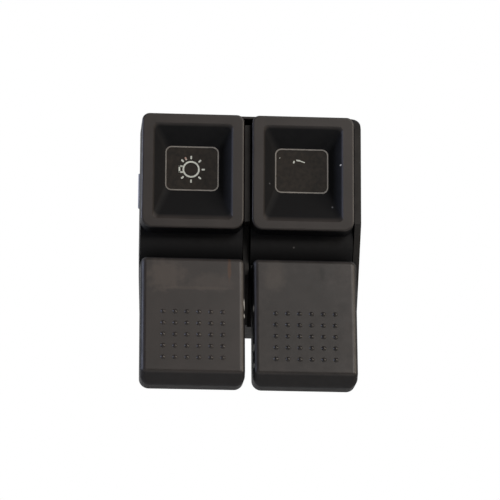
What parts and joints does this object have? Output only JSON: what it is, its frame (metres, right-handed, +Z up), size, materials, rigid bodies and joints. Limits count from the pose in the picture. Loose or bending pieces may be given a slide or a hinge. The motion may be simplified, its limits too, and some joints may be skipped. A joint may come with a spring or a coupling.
{
  "type": "headlight switch",
  "caption": "Dashboard headlight switch with side-by-side rocker keys, each with a funnel-shaped symbol window above a ribbed finger pad, on one flanged housing.",
  "frame": {"origin": "middle of the flange's rear face, which seats on the dashboard", "axes": "+Y into the dashboard, out of the flange's rear face; +Z up along the keys; +X to the right"},
  "size_m": [0.0556, 0.0593, 0.071],
  "materials": {
    "key_plastic": "satin, fine grained",
    "housing_plastic": "matt",
    "cover_plastic": "matt",
    "light_guide_plastic": "clear, frosted rim",
    "symbol_plate_plastic": "smoked, satin",
    "bulb_glass": "clear",
    "holder_plastic": "matt",
    "slider_plastic": "natural acetal",
    "contact_brass": "rolled strip",
    "terminal_brass": "tinned",
    "spring_steel": "rolled",
    "screw_steel": "zinc plated"
  },
  "bodies": {
    "base": {"housing": "housing_plastic", "rear_cover": "cover_plastic", "upper_cover_screw": "screw_steel", "lower_cover_screw": "screw_steel", "left_retaining_clip": "spring_steel", "right_retaining_clip": "spring_steel", "left_upper_left_terminal": "terminal_brass", "left_upper_right_terminal": "terminal_brass", "left_lower_left_terminal": "terminal_brass", "left_lower_right_terminal": "terminal_brass", "right_upper_left_terminal": "terminal_brass", "right_upper_right_terminal": "terminal_brass", "right_lower_left_terminal": "terminal_brass", "right_lower_right_terminal": "terminal_brass", "left_bulb": "bulb_glass", "left_bulb_holder": "holder_plastic", "left_detent_spring": "spring_steel", "right_bulb": "bulb_glass", "right_bulb_holder": "holder_plastic", "right_detent_spring": "spring_steel"},
    "left_key_body": {"left_key": "key_plastic", "left_light_guide": "light_guide_plastic", "left_symbol_plate": "symbol_plate_plastic"},
    "left_slider_body": {"left_slider": "slider_plastic", "left_contact_bridge": "contact_brass"},
    "right_key_body": {"right_key": "key_plastic", "right_light_guide": "light_guide_plastic", "right_symbol_plate": "symbol_plate_plastic"},
    "right_slider_body": {"right_slider": "slider_plastic", "right_contact_bridge": "contact_brass"}
  },
  "joints": [
    {"name": "left_key_rock", "type": "hinge", "parent": "base", "child": "left_key_body", "pos_m": [-0.015, -0.005, -0.0064], "axis": [1, 0, 0], "range_deg": [0, 10]},
    {"name": "left_slider_shift", "type": "slide", "parent": "base", "child": "left_slider_body", "axis": [0, 0, 1], "range_m": [0, 0.00209], "deforming": ["left_detent_spring"]},
    {"name": "right_key_rock", "type": "hinge", "parent": "base", "child": "right_key_body", "pos_m": [0.0125, -0.005, -0.0064], "axis": [1, 0, 0], "range_deg": [0, 10]},
    {"name": "right_slider_shift", "type": "slide", "parent": "base", "child": "right_slider_body", "axis": [0, 0, 1], "range_m": [0, 0.00209], "deforming": ["right_detent_spring"]}
  ],
  "couplings": [
    {"joint": "left_slider_shift", "follows": "left_key_rock", "m_per_rad": 0.012},
    {"joint": "right_slider_shift", "follows": "right_key_rock", "m_per_rad": 0.012}
  ]
}
